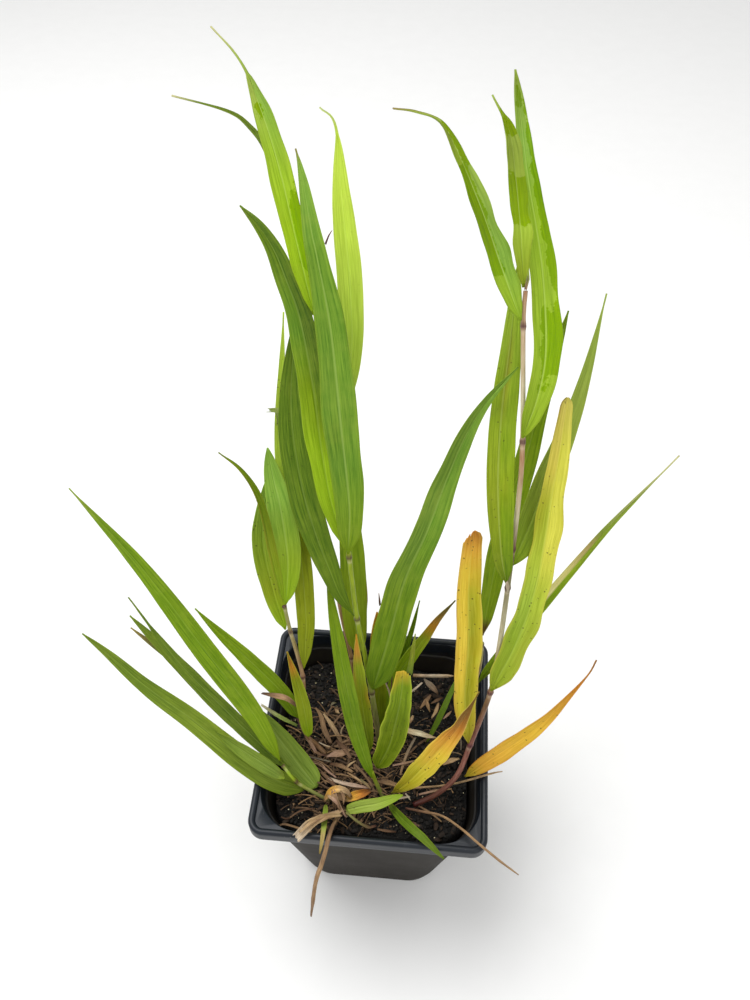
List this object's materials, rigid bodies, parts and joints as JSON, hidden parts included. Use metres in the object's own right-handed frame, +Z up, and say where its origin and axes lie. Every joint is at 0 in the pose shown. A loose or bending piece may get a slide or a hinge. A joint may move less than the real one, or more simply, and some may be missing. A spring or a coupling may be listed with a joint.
{
  "type": "potted japanese forest grass",
  "caption": "Square plastic nursery pot of soil with a clump of forest grass: lance-shaped green and yellowing leaves leaning back on thin culms.",
  "frame": {"origin": "centre of the pot's underside, on the floor it stands on", "axes": "+Z up, +X to the right and -Y towards the viewer of the pot's front side; the leaves lean towards +Y"},
  "size_m": [0.2315, 0.1878, 0.3053],
  "materials": {
    "pot_plastic": "dark blue-grey moulded plastic, satin",
    "potting_soil": "dark moist potting soil with pale specks and straw",
    "green_blade": "leaf blade, mid to bright green, satin with fine lengthwise veins",
    "yellow_blade": "yellowing leaf blade with orange and brown tip",
    "culm_skin": "smooth tan to pinkish grass culm with dark purple nodes",
    "dry_straw": "dry, dull straw"
  },
  "bodies": {
    "root": {"pot": "pot_plastic", "soil": "potting_soil", "culm_right": "culm_skin", "culm_centre": "culm_skin", "culm_left": "culm_skin", "culm_low_left": "culm_skin", "culm_front": "culm_skin", "culm_withered": "culm_skin", "culm_right_back": "culm_skin", "leaf_right_1": "yellow_blade", "leaf_right_2": "yellow_blade", "leaf_right_3": "green_blade", "leaf_right_4": "green_blade", "leaf_right_5": "green_blade", "leaf_right_6": "green_blade", "leaf_right_7": "green_blade", "leaf_right_8": "green_blade", "leaf_back_1": "green_blade", "leaf_back_2": "green_blade", "leaf_centre_1": "green_blade", "leaf_centre_2": "green_blade", "leaf_centre_3": "green_blade", "leaf_centre_4": "green_blade", "leaf_centre_5": "green_blade", "leaf_centre_6": "green_blade", "leaf_centre_7": "green_blade", "leaf_centre_8": "green_blade", "leaf_left_1": "green_blade", "leaf_left_2": "green_blade", "leaf_left_3": "green_blade", "leaf_left_4": "green_blade", "leaf_left_5": "green_blade", "leaf_left_6": "green_blade", "leaf_low_1": "green_blade", "leaf_low_2": "green_blade", "leaf_low_3": "green_blade", "leaf_low_4": "green_blade", "leaf_low_5": "green_blade", "leaf_low_6": "green_blade", "leaf_low_7": "green_blade", "leaf_front_1": "yellow_blade", "leaf_front_2": "green_blade", "leaf_front_3": "green_blade", "leaf_front_4": "green_blade", "leaf_front_5": "green_blade", "leaf_inner_1": "green_blade", "leaf_inner_2": "green_blade", "leaf_inner_3": "green_blade", "leaf_spent_1": "green_blade", "leaf_sprout_1": "green_blade", "leaf_sprout_2": "green_blade", "leaf_sprout_3": "green_blade", "withered_leaf_left": "dry_straw", "withered_leaf_front": "dry_straw", "withered_leaf_brown": "dry_straw", "stalk_over_front": "dry_straw", "stalk_over_corner": "dry_straw", "stalk_right": "dry_straw", "stalk_lying": "dry_straw"}
  },
  "joints": []
}
